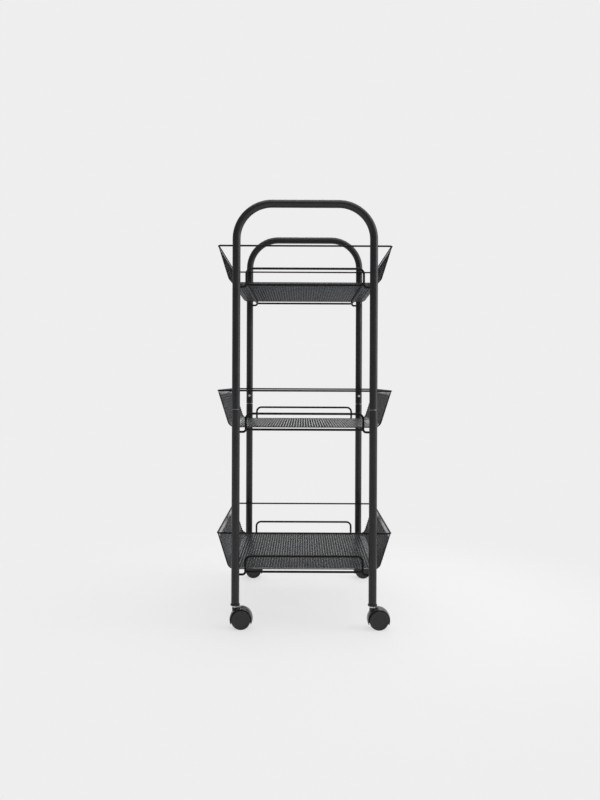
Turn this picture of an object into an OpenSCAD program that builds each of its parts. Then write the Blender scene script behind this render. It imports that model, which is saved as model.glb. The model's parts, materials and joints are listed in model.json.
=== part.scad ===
// Three-tier rolling pantry cart: two tube hoops, three wire-rimmed mesh baskets,
// four twin-wheel swivel casters. Millimetres, +Z up, length along Y, origin on the
// floor under the middle of the cart.

/* [Frame] */
// Height of the cart from the floor to the top of the hoops
cart_height = 848; // [800:1:900]
// Distance across one hoop, between the centres of its two uprights
frame_width = 272; // [260:2:290]
// Distance between the centre planes of the two hoops
frame_length = 400; // [360:5:440]
// Outside diameter of the frame tube
tube_d = 16; // [15:0.5:18]
// Wall thickness of the frame tube
tube_wall = 1.2; // [1:0.1:1.5]
// Centreline radius of the two bends of a hoop
hoop_bend = 70; // [50:5:90]
// Height of the seam where a hoop stands on its legs
seam_z = 433; // [430:1:440]

/* [Baskets] */
// Height of the rim of the bottom basket
bottom_rim_z = 185.6; // [175:0.2:195]
// Height of the rim of the middle basket
middle_rim_z = 470; // [455:1:474]
// Height of the rim of the top basket
top_rim_z = 759; // [740:1:770]
// Width of a basket across its rim, between wire centres
rim_width = 346; // [330:2:360]
// Depth from the rim down to the mesh floor
basket_depth = 72.8; // [70:0.2:76]
// Outward lean of the long walls, in degrees from upright
wall_lean = 17.5; // [10:0.5:20]
// Radius between floor and wall
floor_round = 15; // [8:1:20]
// Thickness of the mesh sheet
sheet = 0.8; // [0.6:0.1:1.2]
// Diameter of the rim wire
rim_wire_d = 3.5; // [3:0.1:4]
// Diameter of the guard wires and of the ring under the floor
heavy_wire_d = 4.5; // [3.5:0.1:5]
// Thickness of the square wire that edges each open end of the mesh
end_wire_d = 2.2; // [1.6:0.1:2.4]
// Drop of the end guard's top wire below the rim
guard_drop = 45.7; // [40:0.1:50]
// Half the distance between the two legs of a guard
guard_half = 117; // [110:1:119]

/* [Casters] */
// Diameter of a caster wheel
wheel_d = 38; // [36:1:40]
// Width of one of the twin wheels
wheel_width = 11; // [10:0.2:14]
// Distance from the swivel axis to the axle
trail = 12; // [11:0.5:14]

/* [Hidden] */
$fn = 64;

BLACK = [0.09, 0.09, 0.095];
PLASTIC = [0.06, 0.06, 0.06];
ZINC = [0.75, 0.76, 0.78];
// Overlap of solids that are joined, and overrun of a cutter past a face
EPS = 0.01;
OVERRUN = 1;

// Frame, worked out from the driving sizes
tube_r = tube_d / 2;
tube_in_r = tube_r - tube_wall;
bar_z = cart_height - tube_r;
bend_z = bar_z - hoop_bend;
half_w = frame_width / 2;
half_l = frame_length / 2;
edge_break = 0.5;
fit = 0.05;

// The flat that each eyelet and screw head beds on, cut into the tube's inner side
seat_depth = 0.3;
seat_d = 12;
screw_d = 4;
screw_hole_d = screw_d + 2 * fit;
screw_l = 8;
head_d = 7.4;
head_room = 0.3;
drain_d = 5;

// Cross recess of a screw head, as shares of the head's width
recess_l = 0.48;
recess_w = 0.12;
recess_depth = 1;

// Sleeves that join each hoop to its legs, bare where the two tubes meet
seam_gap = 0.8;
joiner_l = 60;
joiner_wall = 1.5;
joint_screw_rise = 20;
joint_screw_z = seam_z + joint_screw_rise;
joint_head_d = 5.6;
joint_seat_d = 8;

// Baskets, heights given from the rim's centre
rim_half = rim_width / 2;
rim_corner = 6;
ring_drop = basket_depth + sheet / 2 + fit + end_wire_d + heavy_wire_d / 2;
arm_below_ring = 4.5;
arm_drop = ring_drop + arm_below_ring;
seat_y = half_l - tube_r + seat_depth;
guard_y = half_l - tube_r - heavy_wire_d / 2;
ring_y = guard_y - heavy_wire_d - fit;
rim_inset = 2;
rim_y = guard_y - rim_inset;
tray_y = ring_y - heavy_wire_d / 2;
guard_corner = 11;
foot_bend = 6;
eyelet_d = 10.5;
eyelet_t = 2.2;
eyelet_lap = 1.6;
ring_corner = 8;

// Section of the mesh sheet: floor, round corner, leaning wall
corner_x = rim_half - basket_depth * tan(wall_lean)
    - floor_round * tan((90 - wall_lean) / 2);
wall_run = (basket_depth - floor_round * (1 - sin(wall_lean))) / cos(wall_lean)
    - rim_wire_d / 2;
wire_offset = sheet / 2 + end_wire_d / 2 + fit;

// Casters, measured from the floor
axle_z = wheel_d / 2;
hood_r = wheel_d / 2 + 3.9;
hood_crown = 1.3;
hood_in_r = wheel_d / 2 + 1.2;
hood_half = 14;
hood_edge = 0.6;
hood_tip = 22;
web_half = 4.3;
boss_d = 12.4;
boss_base = axle_z + 8;
boss_top = axle_z + hood_r - 0.4;
collar_z = boss_top + 0.3;
collar_h = 3.3;
collar_d = 11;
plug_z = collar_z + collar_h;
plug_h = 3;
plug_d = 18.6;
plug_l = 32;
leg_z = plug_z + plug_h;
stem_d = 8;
stem_l = 30;
stem_tip = 1;
pin_d = 5;
pin_l = 15;
pin_room = 0.5;

// Wheels, measured outwards from the face next to the web
wheel_y = web_half + 0.4;
wheel_r = wheel_d / 2;
hub_r = 6;
pocket_r = wheel_r - 3.5;
tread_round = 2;
tread_edge = 0.8;
dish_r = wheel_r - 4.5;
dish = 0.5;
cap_z = wheel_width - 2.8;
axle_d = 5;
axle_half = wheel_y + cap_z - 0.3;

// A solid rod along X, Y or Z, from one end to the other
module rod_x(a, b, y, z, d) translate([a, y, z]) rotate([0, 90, 0]) cylinder(h = b - a, d = d);
module rod_y(a, b, x, z, d) translate([x, a, z]) rotate([-90, 0, 0]) cylinder(h = b - a, d = d);
module rod_z(a, b, x, y, d) translate([x, y, a]) cylinder(h = b - a, d = d);

// A bend of round bar in the XZ plane, centred on the origin
module bend_xz(r, d, from, to) {
    rotate([90, 0, 0]) rotate([0, 0, from])
        rotate_extrude(angle = to - from) translate([r, 0]) circle(d = d);
}

// A bend of round bar in the XY plane, centred on the origin
module bend_xy(r, d, from, to) {
    rotate([0, 0, from]) rotate_extrude(angle = to - from) translate([r, 0]) circle(d = d);
}

module both_x() {
    children();
    mirror([1, 0, 0]) children();
}

// Puts a front part at the rear instead
module at_end(rear) mirror([0, rear ? 1 : 0, 0]) children();

// Puts a part made at the Z axis, facing +Y, at one corner so that it faces inwards
module at_corner(side, rear) {
    translate([side * half_w, (rear ? 1 : -1) * half_l, 0]) at_end(rear) children();
}

// Breaks the outer edge of a tube end that faces down at z = 0
module edge_cutter() {
    rotate_extrude() polygon([
        [tube_r - edge_break - OVERRUN, -OVERRUN], [tube_r + OVERRUN, edge_break + OVERRUN],
        [tube_r + OVERRUN, -OVERRUN]
    ]);
}

// Flat seat and screw hole on a tube's inner side
module seat_cut(z, d) {
    translate([0, tube_r - seat_depth, z]) rotate([-90, 0, 0]) cylinder(h = tube_r, d = d);
    translate([0, 0, z]) rotate([-90, 0, 0]) cylinder(h = tube_r + OVERRUN, d = screw_hole_d);
}

// A pan-head screw along +Y, its head's underside at y = 0 and its shank towards -Y
module screw(head) {
    difference() {
        union() {
            rotate([-90, 0, 0]) rotate_extrude() polygon(head / 2 * [
                [0, 0], [1, 0], [1, 0.3], [0.84, 0.52], [0.56, 0.65], [0, 0.65]
            ]);
            translate([0, -screw_l, 0]) rotate([-90, 0, 0]) cylinder(h = screw_l + EPS, d = screw_d);
        }
        for (turn = [0, 90])
            translate([0, 0.65 * head / 2, 0]) rotate([0, turn, 0])
                cube([recess_l * head, 2 * recess_depth, recess_w * head], center = true);
    }
}

// ---- Frame ----

module hoop_bar(d, below) {
    both_x() {
        rod_z(seam_z + seam_gap / 2 - below, bend_z, half_w, 0, d);
        translate([half_w - hoop_bend, 0, bend_z]) bend_xz(hoop_bend, d, 0, 90);
    }
    rod_x(-half_w + hoop_bend, half_w - hoop_bend, 0, bar_z, d);
}

module hoop(rear) {
    color(BLACK) at_end(rear) translate([0, -half_l, 0]) difference() {
        hoop_bar(tube_d, 0);
        hoop_bar(2 * tube_in_r, OVERRUN);
        both_x() translate([half_w, 0, 0]) {
            seat_cut(joint_screw_z, joint_seat_d);
            seat_cut(top_rim_z - arm_drop, seat_d);
            translate([0, 0, seam_z + seam_gap / 2]) edge_cutter();
        }
        translate([0, 0, bar_z - tube_r - OVERRUN]) cylinder(h = tube_r, d = drain_d);
    }
}

module leg(side, rear) {
    top = seam_z - seam_gap / 2;
    color(BLACK) at_corner(side, rear) difference() {
        translate([0, 0, leg_z]) cylinder(h = top - leg_z, d = tube_d);
        translate([0, 0, leg_z - OVERRUN]) cylinder(h = top - leg_z + 2 * OVERRUN, r = tube_in_r);
        seat_cut(middle_rim_z - arm_drop, seat_d);
        seat_cut(bottom_rim_z - arm_drop, seat_d);
        translate([0, 0, leg_z]) edge_cutter();
        translate([0, 0, top]) mirror([0, 0, 1]) edge_cutter();
    }
}

module joiner(side, rear) {
    color(ZINC) at_corner(side, rear) difference() {
        translate([0, 0, seam_z - joiner_l / 2]) cylinder(h = joiner_l, r = tube_in_r - fit);
        translate([0, 0, seam_z - joiner_l / 2 - OVERRUN])
            cylinder(h = joiner_l + 2 * OVERRUN, r = tube_in_r - fit - joiner_wall);
        translate([0, 0, joint_screw_z]) rotate([-90, 0, 0]) cylinder(h = tube_r, d = screw_hole_d);
    }
}

module joint_screws() {
    color(ZINC) for (side = [-1, 1], rear = [false, true])
        at_corner(side, rear)
            translate([0, tube_r - seat_depth, joint_screw_z]) screw(joint_head_d);
}

module socket(side, rear) {
    color(PLASTIC) at_corner(side, rear) difference() {
        union() {
            translate([0, 0, plug_z]) cylinder(h = plug_h, d = plug_d);
            translate([0, 0, plug_z + plug_h - EPS]) cylinder(h = plug_l, r = tube_in_r - fit);
        }
        translate([0, 0, plug_z - OVERRUN])
            cylinder(h = stem_l + 3 * OVERRUN, d = stem_d + 2 * fit);
    }
}

// ---- Baskets ----

// Points of the sheet's section on the +X side, moved outwards by off
function section(off) = concat(
    [[0, -basket_depth - off]],
    [for (a = [-90 : (90 - wall_lean) / 12 : -wall_lean + EPS])
        [corner_x + (floor_round + off) * cos(a),
         floor_round - basket_depth + (floor_round + off) * sin(a)]],
    [[corner_x + (floor_round + off) * cos(wall_lean) + wall_run * sin(wall_lean),
      floor_round - basket_depth - (floor_round + off) * sin(wall_lean)
      + wall_run * cos(wall_lean)]]
);

function flipped(points) = [for (p = points) [-p[0], p[1]]];
function backwards(points) = [for (i = [len(points) - 1 : -1 : 0]) points[i]];
function without_first(points) = [for (i = [1 : len(points) - 1]) points[i]];

// The basket's section as a solid band between two offsets, run along Y between two places
module trough(near, far, from_y, to_y) {
    outer = without_first(section(far));
    inner = without_first(section(near));
    translate([0, to_y, 0]) rotate([90, 0, 0]) linear_extrude(height = to_y - from_y)
        polygon(concat(backwards(flipped(outer)), outer, backwards(inner), flipped(inner)));
}

// Open-ended trough of mesh, drawn as a plain sheet
module mesh_tray(rim_z) {
    color(BLACK) translate([0, 0, rim_z]) trough(-sheet / 2, sheet / 2, -tray_y, tray_y);
}

module rim_wire(rim_z) {
    color(BLACK) translate([0, 0, rim_z]) {
        for (s = [-1, 1]) {
            rod_y(-rim_y + rim_corner - EPS, rim_y - rim_corner + EPS, s * rim_half, 0, rim_wire_d);
            rod_x(-rim_half + rim_corner - EPS, rim_half - rim_corner + EPS, s * rim_y, 0,
                rim_wire_d);
        }
        for (turn = [0 : 3])
            translate([(turn == 0 || turn == 3 ? 1 : -1) * (rim_half - rim_corner),
                       (turn < 2 ? 1 : -1) * (rim_y - rim_corner), 0])
                bend_xy(rim_corner, rim_wire_d, 90 * turn, 90 * turn + 90);
    }
}

module under_ring(rim_z) {
    color(BLACK) translate([0, 0, rim_z - ring_drop]) {
        for (s = [-1, 1]) {
            rod_y(-ring_y + ring_corner - EPS, ring_y - ring_corner + EPS, s * guard_half, 0,
                heavy_wire_d);
            rod_x(-guard_half + ring_corner - EPS, guard_half - ring_corner + EPS, s * ring_y, 0,
                heavy_wire_d);
        }
        for (turn = [0 : 3])
            translate([(turn == 0 || turn == 3 ? 1 : -1) * (guard_half - ring_corner),
                       (turn < 2 ? 1 : -1) * (ring_y - ring_corner), 0])
                bend_xy(ring_corner, heavy_wire_d, 90 * turn, 90 * turn + 90);
    }
}

// End guard: a low arch whose feet curl outwards to flattened eyelets on the uprights
module guard(rim_z, rear) {
    wire = heavy_wire_d;
    color(BLACK) at_end(rear) translate([0, -guard_y, rim_z]) difference() {
        union() {
            rod_x(-guard_half + guard_corner - EPS, guard_half - guard_corner + EPS, 0,
                -guard_drop, wire);
            both_x() {
                translate([guard_half - guard_corner, 0, -guard_drop - guard_corner])
                    bend_xz(guard_corner, wire, 0, 90);
                rod_z(-arm_drop + foot_bend - EPS, -guard_drop - guard_corner + EPS,
                    guard_half, 0, wire);
                translate([guard_half + foot_bend, 0, -arm_drop + foot_bend])
                    bend_xz(foot_bend, wire, 180, 270);
                rod_x(guard_half + foot_bend - EPS, half_w - eyelet_d / 2 + eyelet_lap, 0, -arm_drop, wire);
                rod_y(guard_y - seat_y, guard_y - seat_y + eyelet_t, half_w, -arm_drop, eyelet_d);
            }
        }
        both_x() rod_y(-wire * 2, wire * 2, half_w, -arm_drop, screw_hole_d);
        both_x() rod_y(guard_y - seat_y + eyelet_t, wire * 2, half_w, -arm_drop,
            head_d + 2 * head_room);
    }
}

// Square wire under the open end of the sheet, following its section from rim to rim
module end_wire(rim_z, rear) {
    color(BLACK) at_end(rear) translate([0, 0, rim_z])
        trough(wire_offset - end_wire_d / 2, wire_offset + end_wire_d / 2,
            -tray_y, -tray_y + end_wire_d);
}

module basket_screws(rim_z) {
    color(BLACK) for (side = [-1, 1], rear = [false, true])
        at_corner(side, rear)
            translate([0, half_l - seat_y + eyelet_t, rim_z - arm_drop]) screw(head_d);
}

// ---- Casters ----

module caster_at(side, rear) translate([side * half_w, (rear ? 1 : -1) * half_l, 0]) children();

module stem(side, rear) {
    color(ZINC) caster_at(side, rear) {
        translate([0, 0, collar_z - pin_l]) cylinder(h = pin_l + EPS, d = pin_d);
        translate([0, 0, collar_z]) cylinder(h = collar_h, d = collar_d);
        translate([0, 0, plug_z - EPS]) cylinder(h = stem_l - stem_tip, d = stem_d);
        translate([0, 0, plug_z + stem_l - stem_tip - EPS])
            cylinder(h = stem_tip, d1 = stem_d, d2 = stem_d - 2 * stem_tip);
    }
}

// Crowned hood over both wheels, with the web between them and the swivel boss
module hood(side, rear) {
    color(PLASTIC) caster_at(side, rear) difference() {
        union() {
            translate([trail, 0, axle_z]) rotate([90, 0, 0]) rotate_extrude() polygon(concat(
                [[0, -hood_half], [hood_r - hood_crown - hood_edge, -hood_half]],
                [for (step = [-7 : 2 : 7]) let (t = step / 7)
                    [hood_r - hood_crown * t * t, t * (hood_half - hood_edge)]],
                [[hood_r - hood_crown - hood_edge, hood_half], [0, hood_half]]
            ));
            translate([0, 0, boss_base]) cylinder(h = boss_top - boss_base, d = boss_d);
        }
        for (s = [-1, 1])
            translate([trail, s * (web_half + hood_half), axle_z]) rotate([90, 0, 0])
                cylinder(h = 2 * hood_half, r = hood_in_r, center = true);
        translate([trail - 2 * hood_r, -wheel_d, -wheel_d])
            cube([4 * hood_r, 2 * wheel_d, wheel_d + axle_z - hood_in_r * sin(hood_tip)]);
        translate([0, 0, collar_z - pin_l - pin_room])
            cylinder(h = pin_l + 2 * OVERRUN, d = pin_d + 2 * fit);
        rod_y(-wheel_d, wheel_d, trail, axle_z, axle_d + 2 * fit);
    }
}

module axle(side, rear) {
    color(ZINC) caster_at(side, rear) rod_y(-axle_half, axle_half, trail, axle_z, axle_d);
}

// One of the twin wheels; out is -1 for the wheel on the -Y side of the caster
module wheel(side, rear, out) {
    w = wheel_width;
    color(PLASTIC) caster_at(side, rear) translate([trail, out * wheel_y, axle_z])
        rotate([-90 * out, 0, 0]) rotate_extrude() polygon(concat(
            [[axle_d / 2 + fit, 0], [hub_r, 0], [hub_r, w / 2], [pocket_r, w / 2], [pocket_r, 0],
             [wheel_r - tread_edge, 0], [wheel_r, tread_edge]],
            [for (a = [0 : 15 : 90])
                [wheel_r - tread_round * (1 - cos(a)), w - tread_round * (1 - sin(a))]],
            [[dish_r, w], [dish_r - dish, w - dish], [0, w - dish], [0, cap_z],
             [axle_d / 2 + fit, cap_z]]
        ));
}

hoop(false);  // front_hoop
hoop(true);  // rear_hoop
leg(-1, false);  // front_left_leg
leg(1, false);  // front_right_leg
leg(-1, true);  // rear_left_leg
leg(1, true);  // rear_right_leg
joiner(-1, false);  // front_left_joiner
joiner(1, false);  // front_right_joiner
joiner(-1, true);  // rear_left_joiner
joiner(1, true);  // rear_right_joiner
joint_screws();
socket(-1, false);  // front_left_socket
socket(1, false);  // front_right_socket
socket(-1, true);  // rear_left_socket
socket(1, true);  // rear_right_socket
mesh_tray(top_rim_z);  // top_mesh_tray
rim_wire(top_rim_z);  // top_rim_wire
under_ring(top_rim_z);  // top_under_ring
guard(top_rim_z, false);  // top_front_guard
guard(top_rim_z, true);  // top_rear_guard
end_wire(top_rim_z, false);  // top_front_end_wire
end_wire(top_rim_z, true);  // top_rear_end_wire
basket_screws(top_rim_z);  // top_basket_screws
mesh_tray(middle_rim_z);  // middle_mesh_tray
rim_wire(middle_rim_z);  // middle_rim_wire
under_ring(middle_rim_z);  // middle_under_ring
guard(middle_rim_z, false);  // middle_front_guard
guard(middle_rim_z, true);  // middle_rear_guard
end_wire(middle_rim_z, false);  // middle_front_end_wire
end_wire(middle_rim_z, true);  // middle_rear_end_wire
basket_screws(middle_rim_z);  // middle_basket_screws
mesh_tray(bottom_rim_z);  // bottom_mesh_tray
rim_wire(bottom_rim_z);  // bottom_rim_wire
under_ring(bottom_rim_z);  // bottom_under_ring
guard(bottom_rim_z, false);  // bottom_front_guard
guard(bottom_rim_z, true);  // bottom_rear_guard
end_wire(bottom_rim_z, false);  // bottom_front_end_wire
end_wire(bottom_rim_z, true);  // bottom_rear_end_wire
basket_screws(bottom_rim_z);  // bottom_basket_screws
stem(-1, false);  // front_left_stem
hood(-1, false);  // front_left_hood
axle(-1, false);  // front_left_axle
wheel(-1, false, -1);  // front_left_outer_wheel
wheel(-1, false, 1);  // front_left_inner_wheel
stem(1, false);  // front_right_stem
hood(1, false);  // front_right_hood
axle(1, false);  // front_right_axle
wheel(1, false, -1);  // front_right_outer_wheel
wheel(1, false, 1);  // front_right_inner_wheel
stem(-1, true);  // rear_left_stem
hood(-1, true);  // rear_left_hood
axle(-1, true);  // rear_left_axle
wheel(-1, true, 1);  // rear_left_outer_wheel
wheel(-1, true, -1);  // rear_left_inner_wheel
stem(1, true);  // rear_right_stem
hood(1, true);  // rear_right_hood
axle(1, true);  // rear_right_axle
wheel(1, true, 1);  // rear_right_outer_wheel
wheel(1, true, -1);  // rear_right_inner_wheel
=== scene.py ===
import json
import math

import bpy
import numpy as np
from mathutils import Matrix, Vector


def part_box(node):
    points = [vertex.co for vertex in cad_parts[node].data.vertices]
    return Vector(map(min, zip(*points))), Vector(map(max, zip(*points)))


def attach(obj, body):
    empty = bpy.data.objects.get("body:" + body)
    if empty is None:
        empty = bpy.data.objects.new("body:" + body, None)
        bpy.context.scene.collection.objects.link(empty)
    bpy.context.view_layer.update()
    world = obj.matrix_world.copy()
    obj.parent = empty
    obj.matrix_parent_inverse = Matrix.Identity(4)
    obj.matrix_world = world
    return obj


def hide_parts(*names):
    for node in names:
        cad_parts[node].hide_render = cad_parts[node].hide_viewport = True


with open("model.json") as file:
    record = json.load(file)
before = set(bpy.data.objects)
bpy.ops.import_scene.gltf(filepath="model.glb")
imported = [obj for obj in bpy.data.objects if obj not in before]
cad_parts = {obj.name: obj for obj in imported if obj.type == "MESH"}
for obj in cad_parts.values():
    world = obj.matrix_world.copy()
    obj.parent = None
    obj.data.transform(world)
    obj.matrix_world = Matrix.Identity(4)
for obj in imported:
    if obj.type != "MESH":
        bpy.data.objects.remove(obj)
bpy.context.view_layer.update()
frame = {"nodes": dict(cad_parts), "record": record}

# ---------------------------------------------------------------- places from the frame

MM = 0.001
TIERS = ("top", "middle", "bottom")
ENDS = (("front", -1), ("rear", 1))
CORNERS = ("front_left", "front_right", "rear_left", "rear_right")


def centre(node):
    low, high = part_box(node)
    return (low + high) / 2


def size(node):
    low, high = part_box(node)
    return high - low


rim_z = {tier: centre(tier + "_rim_wire").z for tier in TIERS}
rim_wire_d = size("top_rim_wire").z
rim_half = (size("top_rim_wire").x - rim_wire_d) / 2
tray_half_y = size("top_mesh_tray").y / 2
tray_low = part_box("top_mesh_tray")[0].z - rim_z["top"]

# The tray's section repeats the CAD model's: floor, round corner, leaning wall
SHEET = 0.8 * MM
LEAN = math.radians(17.5)
ROUND = 15 * MM
floor_drop = -tray_low - SHEET / 2
corner_turn = math.pi / 2 - LEAN
floor_half = rim_half - floor_drop * math.tan(LEAN) - ROUND * math.tan(corner_turn / 2)
corner_run = ROUND * corner_turn
wall_run = (floor_drop - ROUND * (1 - math.sin(LEAN))) / math.cos(LEAN) - rim_wire_d / 2
half_run = floor_half + corner_run + wall_run

CELL_RUN = 10.9 * MM  # long way of a mesh diamond, along the section
WALL_MARGIN = 8 * MM  # plain strip left above the diamonds
OVERLAP = 1.5 * MM  # how far the diamonds run into the plain strips
mesh_run = half_run - WALL_MARGIN + OVERLAP
cells = round(2 * mesh_run / CELL_RUN)


def section(run):
    """Places and outward normals, in X and Z from the rim, at distances from the floor's middle."""
    s = np.abs(run)
    side = np.where(run < 0, -1.0, 1.0)
    turn = np.clip((s - floor_half) / ROUND, 0, corner_turn)
    nx, nz = np.sin(turn), -np.cos(turn)
    up = np.maximum(s - floor_half - corner_run, 0)
    x = np.minimum(s, floor_half) + ROUND * nx + up * math.sin(LEAN)
    z = -floor_drop + ROUND * (1 + nz) + up * math.cos(LEAN)
    return side * x, z, side * nx, nz


def on_section(run, y, lift):
    """Points of the tray at a run along its section, a place along Y and a lift off its inner side."""
    x, z, nx, nz = section(run)
    return np.column_stack((x - nx * lift, y, z - nz * lift))


# ---------------------------------------------------------------- building meshes

SHARP_FROM = math.radians(35)  # edges that turn more than this are shaded sharp


def new_mesh(name, verts, faces):
    mesh = bpy.data.meshes.new(name)
    mesh.from_pydata([tuple(v) for v in verts], [], [tuple(int(i) for i in f) for f in faces])
    mesh.validate()
    return mesh


def new_object(name, data):
    obj = bpy.data.objects.new(name, data)
    bpy.context.scene.collection.objects.link(obj)
    return obj


def placed(name, mesh, body, node, slot, place):
    """One piece of the visual model, put in place by a matrix. It stands for one CAD node."""
    piece = new_object(name, mesh)
    if not mesh.materials:
        mesh.materials.append(looks[slot])
    piece.matrix_world = place
    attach(piece, body)
    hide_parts(node)


class Builder:
    """Gathers closed shells into one mesh."""

    def __init__(self):
        self.verts = []
        self.faces = []

    def add(self, verts, faces):
        base = len(self.verts)
        self.verts.extend(map(tuple, verts))
        self.faces.extend(tuple(i + base for i in f) for f in faces)

    def tube(self, path, radius, sides=12, closed=False):
        """A round wire along a list of points, with flat ends unless closed."""
        path = [Vector(p) for p in path]
        count = len(path)
        ahead = []
        for k in range(count):
            if closed:
                ahead.append((path[(k + 1) % count] - path[k - 1]).normalized())
            else:
                ahead.append((path[min(k + 1, count - 1)] - path[max(k - 1, 0)]).normalized())
        up = Vector((0, 0, 1)) if abs(ahead[0].z) < 0.9 else Vector((0, 1, 0))
        side = ahead[0].cross(up).normalized()
        verts = []
        for k in range(count):
            side = (side - ahead[k] * side.dot(ahead[k])).normalized()
            across = ahead[k].cross(side)
            for n in range(sides):
                a = 2 * math.pi * n / sides
                verts.append(path[k] + (side * math.cos(a) + across * math.sin(a)) * radius)
        faces = []
        for k in range(count if closed else count - 1):
            here, there = k * sides, (k + 1) % count * sides
            for n in range(sides):
                m = (n + 1) % sides
                faces.append((here + n, here + m, there + m, there + n))
        if not closed:
            faces.append(tuple(range(sides))[::-1])
            faces.append(tuple(range((count - 1) * sides, count * sides)))
        self.add(verts, faces)

    def lathe(self, profile, turns=96, begin=0.0, sweep=2 * math.pi):
        """A profile of (radius, height) points, turned about Z. A part turn gets flat end faces."""
        whole = sweep >= 2 * math.pi - 1e-6
        rings = turns if whole else turns + 1
        count = len(profile)
        verts = []
        for k in range(rings):
            a = begin + sweep * k / turns
            verts.extend((r * math.cos(a), r * math.sin(a), h) for r, h in profile)
        faces = []
        for k in range(turns):
            here, there = k * count, (k + 1) % rings * count
            for n in range(count):
                m = (n + 1) % count
                faces.append((here + n, there + n, there + m, here + m))
        if not whole:
            faces.append(tuple(range(count)))
            faces.append(tuple(range((rings - 1) * count, rings * count))[::-1])
        self.add(verts, faces)

    def mesh(self, name, smooth=True):
        mesh = new_mesh(name, self.verts, self.faces)
        if smooth:
            mesh.shade_smooth()
            mesh.set_sharp_from_angle(angle=SHARP_FROM)
        return mesh


def rounded(points, radius, steps=4):
    """An outline whose corners are cut to arcs of about that radius."""
    out = []
    count = len(points)
    most = 0.45  # of a side's length, so that two cuts never meet
    for k in range(count):
        a, b, c = (Vector(points[(k + d) % count]) for d in (-1, 0, 1))
        before, after = a - b, c - b
        cut = min(radius, before.length * most, after.length * most)
        start, stop = b + before.normalized() * cut, b + after.normalized() * cut
        for n in range(steps + 1):
            t = n / steps
            out.append(tuple(start * (1 - t) ** 2 + b * 2 * t * (1 - t) + stop * t * t))
    return out


# ---------------------------------------------------------------- materials


class Look:
    """A Principled material built from procedural nodes in object space."""

    def __init__(self, name, color, roughness, metallic=0.0, ior=1.5):
        self.material = bpy.data.materials.new(name)
        self.material.use_nodes = True
        self.tree = self.material.node_tree
        self.shader = self.tree.nodes["Principled BSDF"]
        self.shader.inputs["Base Color"].default_value = (*color, 1)
        self.shader.inputs["Roughness"].default_value = roughness
        self.shader.inputs["Metallic"].default_value = metallic
        self.shader.inputs["IOR"].default_value = ior
        self.color = color
        self.normal = None
        self.coords = self.tree.nodes.new("ShaderNodeTexCoord").outputs["Object"]

    def node(self, kind, **inputs):
        made = self.tree.nodes.new(kind)
        for key, value in inputs.items():
            name = key.replace("_", " ")
            if isinstance(value, bpy.types.NodeSocket):
                self.tree.links.new(value, made.inputs[name])
            else:
                made.inputs[name].default_value = value
        return made

    def noise(self, scale, detail=2.0, stretch=None):
        coords = self.coords
        if stretch:
            mapping = self.node("ShaderNodeMapping", Vector=coords)
            mapping.inputs["Scale"].default_value = stretch
            coords = mapping.outputs["Vector"]
        made = self.node("ShaderNodeTexNoise", Vector=coords, Scale=scale, Detail=detail)
        return made.outputs["Fac"]

    def math(self, operation, a, b=0.0):
        made = self.tree.nodes.new("ShaderNodeMath")
        made.operation = operation
        for socket, value in zip(made.inputs, (a, b)):
            if isinstance(value, bpy.types.NodeSocket):
                self.tree.links.new(value, socket)
            else:
                socket.default_value = value
        return made.outputs["Value"]

    def between(self, value, low, high, to_low, to_high):
        made = self.node("ShaderNodeMapRange", Value=value)
        made.inputs["From Min"].default_value = low
        made.inputs["From Max"].default_value = high
        made.inputs["To Min"].default_value = to_low
        made.inputs["To Max"].default_value = to_high
        return made.outputs["Result"]

    def color_from(self, value, low, high, dark, light):
        ramp = self.node("ShaderNodeValToRGB", Fac=value)
        for stop, at, share in zip(ramp.color_ramp.elements, (low, high), (dark, light)):
            stop.position = at
            stop.color = (*[c * share for c in self.color], 1)
        self.tree.links.new(ramp.outputs["Color"], self.shader.inputs["Base Color"])

    def roughness_from(self, value, low, high, to_low, to_high):
        self.tree.links.new(
            self.between(value, low, high, to_low, to_high), self.shader.inputs["Roughness"]
        )

    def bump(self, height, depth, strength=1.0):
        made = self.node("ShaderNodeBump", Height=height, Strength=strength, Distance=depth)
        if self.normal is not None:
            self.tree.links.new(self.normal, made.inputs["Normal"])
        self.normal = made.outputs["Normal"]
        self.tree.links.new(self.normal, self.shader.inputs["Normal"])


def powder_coat(name, color, roughness, peel=0.00005, ior=1.5):
    """Semi-gloss powder coat: orange peel, a faint drift of tone and gloss."""
    look = Look(name, color, roughness, ior=ior)
    look.color_from(look.noise(55, 3), 0.35, 0.65, 0.88, 1.14)
    look.roughness_from(look.noise(24, 4), 0.3, 0.7, roughness - 0.05, roughness + 0.06)
    look.bump(look.noise(620, 2), peel, 0.55)
    look.bump(look.noise(2600, 1), peel * 0.3, 0.35)
    return look.material


def coated_mesh(name, color, roughness, pitch, reach):
    """Powder coat on the mesh, with painted highlight: paler stripes along its rows on the floor,
    within reach of the middle, standing in for light caught by the rows of strands.
    """
    fade = 10 * MM
    look = Look(name, color, roughness, ior=1.6)
    x = look.node("ShaderNodeSeparateXYZ", Vector=look.coords).outputs["X"]
    # Painted highlight: cosine stripes at the row pitch, paler on the floor within reach of the middle,
    # mixed with a random drift of tone
    row = look.math("COSINE", look.math("MULTIPLY", x, 2 * math.pi / pitch))
    inside = look.between(look.math("ABSOLUTE", x), reach, reach + fade, 0.5, 0.0)
    painted_row_highlight_and_tone = look.math("ADD", look.math("MULTIPLY", row, inside), look.noise(60, 3))
    look.color_from(painted_row_highlight_and_tone, 0.1, 0.9, 0.6, 1.5)
    look.roughness_from(look.noise(24, 4), 0.3, 0.7, roughness - 0.05, roughness + 0.06)
    look.bump(look.noise(620, 2), 0.00003, 0.55)
    return look.material


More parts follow.
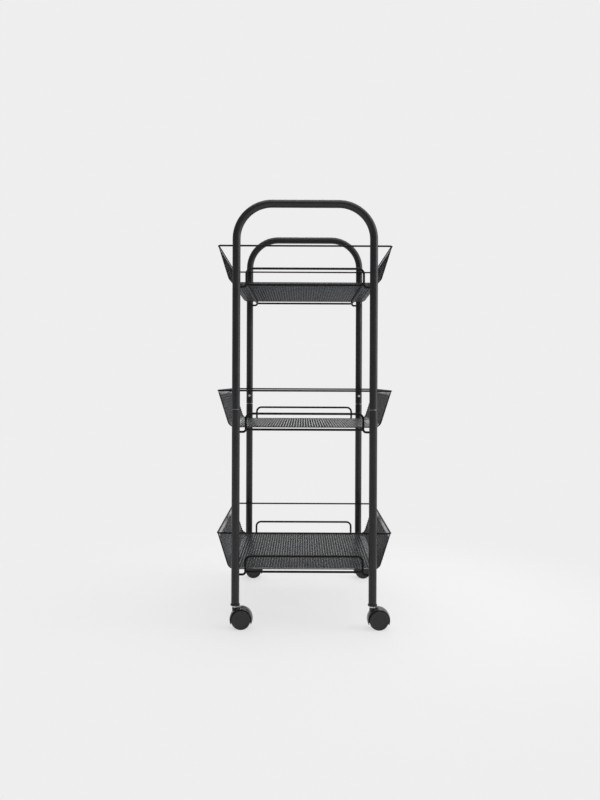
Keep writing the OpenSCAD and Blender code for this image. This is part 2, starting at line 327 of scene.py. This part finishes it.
def moulded(name, color, roughness, grain=0.00003):
    """Moulded plastic: fine spark-eroded grain, slight sheen changes where it has been handled."""
    look = Look(name, color, roughness, ior=1.48)
    look.color_from(look.noise(90, 3), 0.3, 0.7, 0.85, 1.18)
    look.roughness_from(look.noise(38, 4), 0.3, 0.7, roughness - 0.07, roughness + 0.07)
    look.bump(look.noise(1900, 2), grain, 0.6)
    return look.material


def plated(name, color, roughness, stretch, metallic=1.0):
    """Plated or drawn steel: fine tool lines and clouded brightness."""
    look = Look(name, color, roughness, metallic)
    look.color_from(look.noise(160, 3), 0.3, 0.7, 0.82, 1.08)
    look.roughness_from(look.noise(900, 2, stretch), 0.3, 0.7, roughness - 0.08, roughness + 0.1)
    look.bump(look.noise(1400, 2, stretch), 0.00002, 0.4)
    return look.material


ALONG_X, ALONG_Z = (6, 1, 1), (1, 1, 6)  # ways in which the tool lines follow each other closely
looks = {
    "black_powder_coat": powder_coat("powder coat, tube", (0.0185, 0.0185, 0.0190), 0.36, ior=1.4),
    "black_wire": powder_coat("powder coat, wire", (0.0110, 0.0110, 0.0117), 0.55, 0.00003, 1.22),
    "black_mesh": coated_mesh("powder coat, mesh", (0.0130, 0.0160, 0.0195), 0.20,
                              mesh_run / cells, floor_half),
    "black_screw": plated("black zinc", (0.05, 0.05, 0.052), 0.38, ALONG_Z),
    "zinc": plated("bright zinc", (0.90, 0.91, 0.93), 0.42, ALONG_Z, 0.45),
    "bare_steel": plated("drawn steel", (0.42, 0.43, 0.44), 0.20, ALONG_X),
    "black_plastic": moulded("plug nylon", (0.013, 0.013, 0.014), 0.42),
    "hood_plastic": moulded("hood plastic", (0.013, 0.013, 0.014), 0.28),
    "wheel_plastic": moulded("wheel plastic", (0.018, 0.018, 0.019), 0.48),
}
# The plain strips of a tray lie smoother than its mesh
hem_look = powder_coat("powder coat, hem", (0.0160, 0.0162, 0.0172), 0.13, 0.00001, 1.9)
slot_of = {part["node"]: part["material_slot"] for part in frame["record"]["subparts"]}
for node, obj in frame["nodes"].items():
    obj.data.materials.clear()
    obj.data.materials.append(looks[slot_of[node]])

# ---------------------------------------------------------------- expanded mesh trays

CELL_Y = 5.5 * MM  # short way, along the basket
HOLE_RUN = 0.76  # half size of a hole, as a share of half a cell
HOLE_Y = 0.72
BOND = 0.20  # half length of a hole's straight side, as a share of half a cell
RELIEF = 0.22 * MM  # how far the slit edges stand off the sheet's middle
STRAND = 0.70 * MM  # thickness of the metal
FLOOR_MARGIN = 8 * MM  # plain strip left at the floor's ends
FLOOR_STRIP = SHEET * 1.15  # its thickness, a little more than the walls' strips
BROKEN_EDGE = 0.3 * MM  # bevel along the strips' edges


def lattice():
    """Middle of the expanded sheet as points (run, y, lift) and faces, holes left open."""
    mesh_y = tray_half_y - FLOOR_MARGIN + OVERLAP
    rows = round(2 * mesh_y / CELL_Y)
    step_run, step_y = mesh_run / cells, mesh_y / rows
    bonds = {}
    points = []

    def bond(i, j):
        if (i, j) not in bonds:
            bonds[i, j] = len(points)
            points.append(((i - cells) * step_run, (j - rows) * step_y, 0.0))
        return bonds[i, j]

    faces = []
    for i in range(2 * cells + 1):
        for j in range((i + 1) % 2, 2 * rows + 1, 2):
            run, y = (i - cells) * step_run, (j - rows) * step_y
            base = len(points)
            for a, b, lift in (
                (-HOLE_RUN, 0, 0), (-BOND, HOLE_Y, -1), (BOND, HOLE_Y, -1),
                (HOLE_RUN, 0, 0), (BOND, -HOLE_Y, 1), (-BOND, -HOLE_Y, 1),
            ):
                points.append((run + a * step_run, y + b * step_y, lift * RELIEF))
            left, right, near, far = i > 0, i < 2 * cells, j > 0, j < 2 * rows
            if left and far:
                faces.append((bond(i, j + 1), base + 1, base, bond(i - 1, j)))
            if right and far:
                faces.append((bond(i + 1, j), base + 3, base + 2, bond(i, j + 1)))
            if right and near:
                faces.append((bond(i, j - 1), base + 4, base + 3, bond(i + 1, j)))
            if left and near:
                faces.append((bond(i - 1, j), base, base + 5, bond(i, j - 1)))
            if far:
                faces.append((bond(i, j + 1), base + 2, base + 1))
            if near:
                faces.append((bond(i, j - 1), base + 5, base + 4))
    return np.array(points), faces


def thickened(points, faces, thickness):
    """Both sides of a sheet and the walls of every edge, so that it is closed."""
    count = len(points)
    front, back = points.copy(), points.copy()
    front[:, 2] += thickness / 2
    back[:, 2] -= thickness / 2
    edges = set()
    for face in faces:
        edges.update(zip(face, face[1:] + face[:1]))
    walls = [(a, a + count, b + count, b) for a, b in edges if (b, a) not in edges]
    behind = [tuple(i + count for i in face[::-1]) for face in faces]
    return np.vstack((front, back)), list(faces) + behind + sorted(walls)


def band(run_from, run_to, y_from, y_to, thickness, steps):
    """A solid strip of the sheet between two runs and two places along Y, as a closed shell."""
    runs = np.linspace(run_from, run_to, steps + 1)
    edge = min(BROKEN_EDGE, thickness * 0.4)
    ring = (
        (y_from + edge, thickness / 2), (y_to - edge, thickness / 2),
        (y_to, thickness / 2 - edge), (y_to, -thickness / 2 + edge),
        (y_to - edge, -thickness / 2), (y_from + edge, -thickness / 2),
        (y_from, -thickness / 2 + edge), (y_from, thickness / 2 - edge),
    )
    points = np.array([(run, y, lift) for run in runs for y, lift in ring])
    sides = len(ring)
    faces = []
    for k in range(steps):
        for n in range(sides):
            m = (n + 1) % sides
            faces.append((k * sides + n, k * sides + m, (k + 1) * sides + m, (k + 1) * sides + n))
    faces.append(tuple(range(sides))[::-1])
    faces.append(tuple(range(steps * sides, (steps + 1) * sides)))
    return points, faces


def tray_mesh():
    """One basket's sheet: diamond mesh, plain margins under the rim and at the floor's ends."""
    tray = Builder()

    def put(points, faces):
        tray.add(on_section(points[:, 0], points[:, 1], points[:, 2]), faces)

    put(*thickened(*lattice(), STRAND))
    open_faces = len(tray.faces)
    margin_run = floor_half + corner_run * 0.25
    for side in (-1, 1):
        ends = sorted((side * (half_run - WALL_MARGIN), side * half_run))
        put(*band(*ends, -tray_half_y, tray_half_y, SHEET, 3))
        y = sorted((side * tray_half_y, side * (tray_half_y - FLOOR_MARGIN)))
        put(*band(-margin_run, margin_run, *y, FLOOR_STRIP, 60))
    mesh = tray.mesh("expanded_tray", smooth=False)
    mesh.materials.append(looks["black_mesh"])
    mesh.materials.append(hem_look)
    is_strip = np.arange(len(mesh.polygons)) >= open_faces
    mesh.polygons.foreach_set("material_index", is_strip.astype(np.int32))
    return mesh


EDGE_R = 0.95 * MM  # wire in the hem of an open end
DASH = CELL_RUN / 2  # one cut strand for each row of diamonds
GRIP_R = EDGE_R + 0.35 * MM  # middle of a strand, round the wire
STRAND_R = 0.7 * MM
GRIP_FROM, GRIP_SWEEP = -75, 135  # degrees of the wire's section that a strand goes round
GRIP_STEPS = 6
GRIP_SLANT = 0.35  # of the spacing, between a strand's two ends


def edge_mesh(end):
    """Round wire in the hem of the tray's open end, and the cut strands that grip it up the walls."""
    edge = Builder()
    y = end * (tray_half_y - EDGE_R)
    top = half_run - EDGE_R
    runs = np.concatenate((
        np.linspace(-top, -floor_half - corner_run, 4)[:-1],
        np.linspace(-floor_half - corner_run, -floor_half, 10)[:-1],
        np.linspace(-floor_half, floor_half, 9),
        np.linspace(floor_half, floor_half + corner_run, 10)[1:],
        np.linspace(floor_half + corner_run, top, 4)[1:],
    ))
    edge.tube(on_section(runs, np.full(len(runs), y), np.zeros(len(runs))), EDGE_R)
    start = floor_half + corner_run * 0.3
    for side in (-1, 1):
        for k in range(int((top - start) / DASH)):
            run = start + (k + 0.5) * DASH
            path = []
            for n in range(GRIP_STEPS + 1):
                t = n / GRIP_STEPS
                a = math.radians(GRIP_FROM + GRIP_SWEEP * t)
                slant = (t - 0.5) * DASH * GRIP_SLANT
                path.append(on_section(
                    np.array([side * (run + slant)]), y + end * GRIP_R * math.sin(a),
                    GRIP_R * math.cos(a),
                )[0])
            edge.tube(path, STRAND_R, 6)
    return edge.mesh("tray_edge")


tray = tray_mesh()
edges = {end: edge_mesh(side) for end, side in ENDS}
for tier in TIERS:
    at_rim = Matrix.Translation((0, 0, rim_z[tier]))
    # The top basket's sheet lies the other way round, so its slit edges lean the other way
    turned = Matrix.Rotation(math.pi if tier == "top" else 0, 4, "Z")
    placed(f"{tier}_basket_mesh", tray, "frame", f"{tier}_mesh_tray", "black_mesh",
           at_rim @ turned)
    for end, _ in ENDS:
        placed(f"{tier}_{end}_edge", edges[end], "frame", f"{tier}_{end}_end_wire",
               "black_wire", at_rim)

# ---------------------------------------------------------------- casters

wheel_r = size("front_left_outer_wheel").z / 2
wheel_w = size("front_left_outer_wheel").y
hood_box = size("front_left_hood")
hood_r = hood_box.x / 2
hood_half = hood_box.y / 2
axle_at = {corner: centre(corner + "_axle") for corner in CORNERS}
stem_at = {corner: centre(corner + "_stem") for corner in CORNERS}
trail = axle_at["front_left"].x - stem_at["front_left"].x
boss_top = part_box("front_left_hood")[1].z
hood_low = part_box("front_left_hood")[0].z
WEB_HALF = 4.3 * MM  # half thickness of the web between the wheels
WEB_BEVEL = 0.5 * MM
HOOD_CROWN = 1.3 * MM  # how much lower the hood is at its sides than over its middle
HOOD_ROUND = 0.6 * MM
hood_inner = wheel_r + 1.4 * MM
BOSS_R = 6.2 * MM
PIN_HOLE_R = 2.55 * MM
AXLE_R = 2.5 * MM
WHEEL_BORE_R = AXLE_R + 0.05 * MM
HUB_R = 6.2 * MM
TREAD_ROUND = 2.2 * MM  # between the tread and the outer face
POINT = 0.2 * MM  # radius left at the middle of a turned shape


def wheel_mesh():
    """A wheel about Z, its inner face at height 0 and its outer face up."""
    r, w = wheel_r, wheel_w
    hollow_and_tread = [
        (WHEEL_BORE_R, 0), (HUB_R, 0), (5.8 * MM, w * 0.5), (r - 3.8 * MM, w * 0.5),
        (r - 3.2 * MM, 0), (r - 0.6 * MM, 0), (r, 0.7 * MM), (r, w - TREAD_ROUND),
    ]
    tread_edge = [
        (r + TREAD_ROUND * (math.cos(a) - 1), w + TREAD_ROUND * (math.sin(a) - 1))
        for a in np.linspace(0, math.pi / 2, 8)[1:]
    ]
    dished_face = [
        (r - 4.0 * MM, w), (r - 4.4 * MM, w - 0.15 * MM), (r - 4.7 * MM, w - 0.5 * MM),
        (r - 5.2 * MM, w - 0.55 * MM), (r * 0.45, w - 0.42 * MM), (r * 0.2, w - 0.36 * MM),
        (POINT, w - 0.35 * MM), (POINT, w - 2.6 * MM), (WHEEL_BORE_R, w - 2.6 * MM),
    ]
    wheel = Builder()
    wheel.lathe(hollow_and_tread + tread_edge + dished_face, 128)
    return wheel.mesh("twin_wheel")


def hood_mesh():
    """Hood about the axle, which is at the origin along Y: crowned shell, web and swivel boss."""
    low = centre("front_left_axle").z - hood_low
    outer = [(hood_r - HOOD_CROWN * t * t, hood_half * t) for t in np.linspace(-1, 1, 13)]
    shell = rounded([(hood_inner, -hood_half), *outer, (hood_inner, hood_half)], HOOD_ROUND)
    tip = math.asin(low / hood_inner)
    whole = Builder()
    cover = Builder()
    cover.lathe(shell, 96, -tip, math.pi + 2 * tip)
    # The lathe stands about Z; the axle lies along Y
    whole.add([(x, -z, y) for x, y, z in cover.verts], cover.faces)
    into_shell = 0.4 * MM
    whole.add(*web(hood_inner + into_shell, low))
    high = boss_top - axle_at["front_left"].z
    boss = [
        (POINT, high - 4 * MM), (PIN_HOLE_R, high - 4 * MM), (PIN_HOLE_R, high - 0.4 * MM),
        (PIN_HOLE_R + 0.4 * MM, high), (BOSS_R - 0.8 * MM, high),
        (BOSS_R - 0.2 * MM, high - 0.25 * MM), (BOSS_R, high - 0.9 * MM),
        (BOSS_R, high - 6.5 * MM), (WEB_HALF, high - 8.2 * MM), (POINT, high - 9 * MM),
    ]
    part = Builder()
    part.lathe(boss, 64)
    whole.add([(x - trail, y, z) for x, y, z in part.verts], part.faces)
    return whole.mesh("caster_hood")


def web(radius, low):
    """The flat web between the wheels, round above and cut straight below, rims broken."""
    start = -math.asin(low / radius)
    outline = [(radius * math.cos(a), radius * math.sin(a))
               for a in np.linspace(start, math.pi - start, 64)]
    flat = WEB_HALF - WEB_BEVEL
    layers = ((-WEB_HALF, 0.97), (-flat, 1), (flat, 1), (WEB_HALF, 0.97))
    verts, faces = [], []
    for y, grow in layers:
        verts.extend((x * grow, y, z * grow) for x, z in outline)
    count = len(outline)
    last = len(layers) - 1
    for k in range(last):
        for n in range(count):
            m = (n + 1) % count
            faces.append((k * count + n, k * count + m, (k + 1) * count + m, (k + 1) * count + n))
    faces.append(tuple(range(count))[::-1])
    faces.append(tuple(range(last * count, (last + 1) * count)))
    return verts, faces


hood = hood_mesh()
wheel = wheel_mesh()

for corner in CORNERS:
    axle = axle_at[corner]
    placed(f"{corner}_hood_cover", hood, f"{corner}_caster", f"{corner}_hood", "hood_plastic",
           Matrix.Translation(axle))
    for which in ("outer", "inner"):
        node = f"{corner}_{which}_wheel"
        side = 1 if centre(node).y > axle.y else -1
        inner_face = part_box(node)[0].y if side > 0 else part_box(node)[1].y
        facing_out = Matrix.Rotation(math.radians(-90 * side), 4, "X")
        # A wheel's body has the same name as its CAD node
        placed(f"{node}_disc", wheel, node, node, "wheel_plastic",
               Matrix.Translation((axle.x, inner_face, axle.z)) @ facing_out)

# ---------------------------------------------------------------- stage, light and camera

BACKDROP = 0.855  # linear value of the pale studio surround
FLOOR_HALF = 12.0


def smooth_range(tree, value, low, high, to_low, to_high):
    """A value taken smoothly from one range to another."""
    made = tree.nodes.new("ShaderNodeMapRange")
    made.interpolation_type = "SMOOTHSTEP"
    names = ("From Min", "From Max", "To Min", "To Max")
    for name, number in zip(names, (low, high, to_low, to_high)):
        made.inputs[name].default_value = number
    tree.links.new(value, made.inputs["Value"])
    return made.outputs["Result"]


def stage_floor():
    """Pale floor that fades into the surround away from the cart."""
    corners = [(x * FLOOR_HALF, y * FLOOR_HALF, 0) for x, y in ((-1, -1), (1, -1), (1, 1), (-1, 1))]
    mesh = new_mesh("studio_floor", corners, [(0, 1, 2, 3)])
    floor = new_object("studio_floor", mesh)
    material = bpy.data.materials.new("studio floor")
    material.use_nodes = True
    tree = material.node_tree
    shader = tree.nodes["Principled BSDF"]
    shader.inputs["Base Color"].default_value = (0.86, 0.865, 0.86, 1)
    shader.inputs["Roughness"].default_value = 0.85
    glow = tree.nodes.new("ShaderNodeEmission")
    glow.inputs["Color"].default_value = (BACKDROP, BACKDROP, BACKDROP, 1)
    coords = tree.nodes.new("ShaderNodeTexCoord")
    length = tree.nodes.new("ShaderNodeVectorMath")
    length.operation = "LENGTH"
    links = tree.links
    links.new(coords.outputs["Object"], length.inputs[0])
    # The share of plain glow, from under the cart to 0.9 m away
    fade = smooth_range(tree, length.outputs["Value"], 0.30, 0.9, 0.72, 1.0)
    mix = tree.nodes.new("ShaderNodeMixShader")
    links.new(fade, mix.inputs["Fac"])
    links.new(shader.outputs["BSDF"], mix.inputs[1])
    links.new(glow.outputs["Emission"], mix.inputs[2])
    links.new(mix.outputs["Shader"], tree.nodes["Material Output"].inputs["Surface"])
    mesh.materials.append(material)


def surround():
    """World light: even and pale as seen, but what the cart reflects is darker in front and left."""
    world = bpy.data.worlds.new("studio")
    bpy.context.scene.world = world
    world.use_nodes = True
    tree = world.node_tree
    links = tree.links
    back = tree.nodes["Background"]
    coords = tree.nodes.new("ShaderNodeTexCoord")
    split = tree.nodes.new("ShaderNodeSeparateXYZ")
    links.new(coords.outputs["Generated"], split.inputs["Vector"])
    both = tree.nodes.new("ShaderNodeMath")
    both.operation = "MULTIPLY"
    links.new(smooth_range(tree, split.outputs["Y"], -0.95, 0.25, 0.14, 0.80), both.inputs[0])
    links.new(smooth_range(tree, split.outputs["X"], -0.95, 0.1, 0.40, 1.0), both.inputs[1])
    path = tree.nodes.new("ShaderNodeLightPath")
    seen = tree.nodes.new("ShaderNodeMix")
    seen.data_type = "FLOAT"
    links.new(path.outputs["Is Camera Ray"], seen.inputs["Factor"])
    links.new(both.outputs["Value"], seen.inputs["A"])
    seen.inputs["B"].default_value = BACKDROP
    links.new(seen.outputs["Result"], back.inputs["Strength"])
    back.inputs["Color"].default_value = (1, 1, 1, 1)


def softbox(name, place, aim_height, width, height, power):
    """A soft rectangular light, aimed at a height on the cart's upright middle line."""
    light = bpy.data.lights.new(name, "AREA")
    light.shape = "RECTANGLE"
    light.size, light.size_y = width, height
    light.energy = power
    obj = new_object(name, light)
    way = Vector((0, 0, aim_height)) - Vector(place)
    obj.matrix_world = Matrix.Translation(place) @ way.to_track_quat("-Z", "Y").to_matrix().to_4x4()


CAMERA_AT = (-0.0056, -1.7313, 0.4895)
CAMERA_DIP = 0.0039  # radians below level
CAMERA_ROLL = 0.0042
LENS, SENSOR_HEIGHT = 34.82, 36.0


def studio_camera():
    """Camera on the cart's long axis, just above the middle basket, looking along the baskets."""
    camera = bpy.data.cameras.new("camera")
    camera.sensor_fit = "VERTICAL"
    camera.sensor_height = SENSOR_HEIGHT
    camera.lens = LENS
    camera.shift_x, camera.shift_y = -0.0024, -0.0199
    camera.clip_end = 100
    obj = new_object("camera", camera)
    obj.matrix_world = (
        Matrix.Translation(CAMERA_AT)
        @ Matrix.Rotation(math.pi / 2 - CAMERA_DIP, 4, "X")
        @ Matrix.Rotation(CAMERA_ROLL, 4, "Z")
    )
    bpy.context.scene.camera = obj


stage_floor()
surround()
softbox("overhead", (0.3, -0.3, 2.3), aim_height=0.3, width=2.4, height=2.0, power=22)
softbox("high behind", (0.0, 2.3, 2.3), aim_height=0.3, width=2.6, height=1.2, power=30)
softbox("right side", (2.1, -0.3, 1.2), aim_height=0.5, width=1.4, height=1.9, power=24)
studio_camera()
bpy.context.scene.view_settings.view_transform = "Standard"
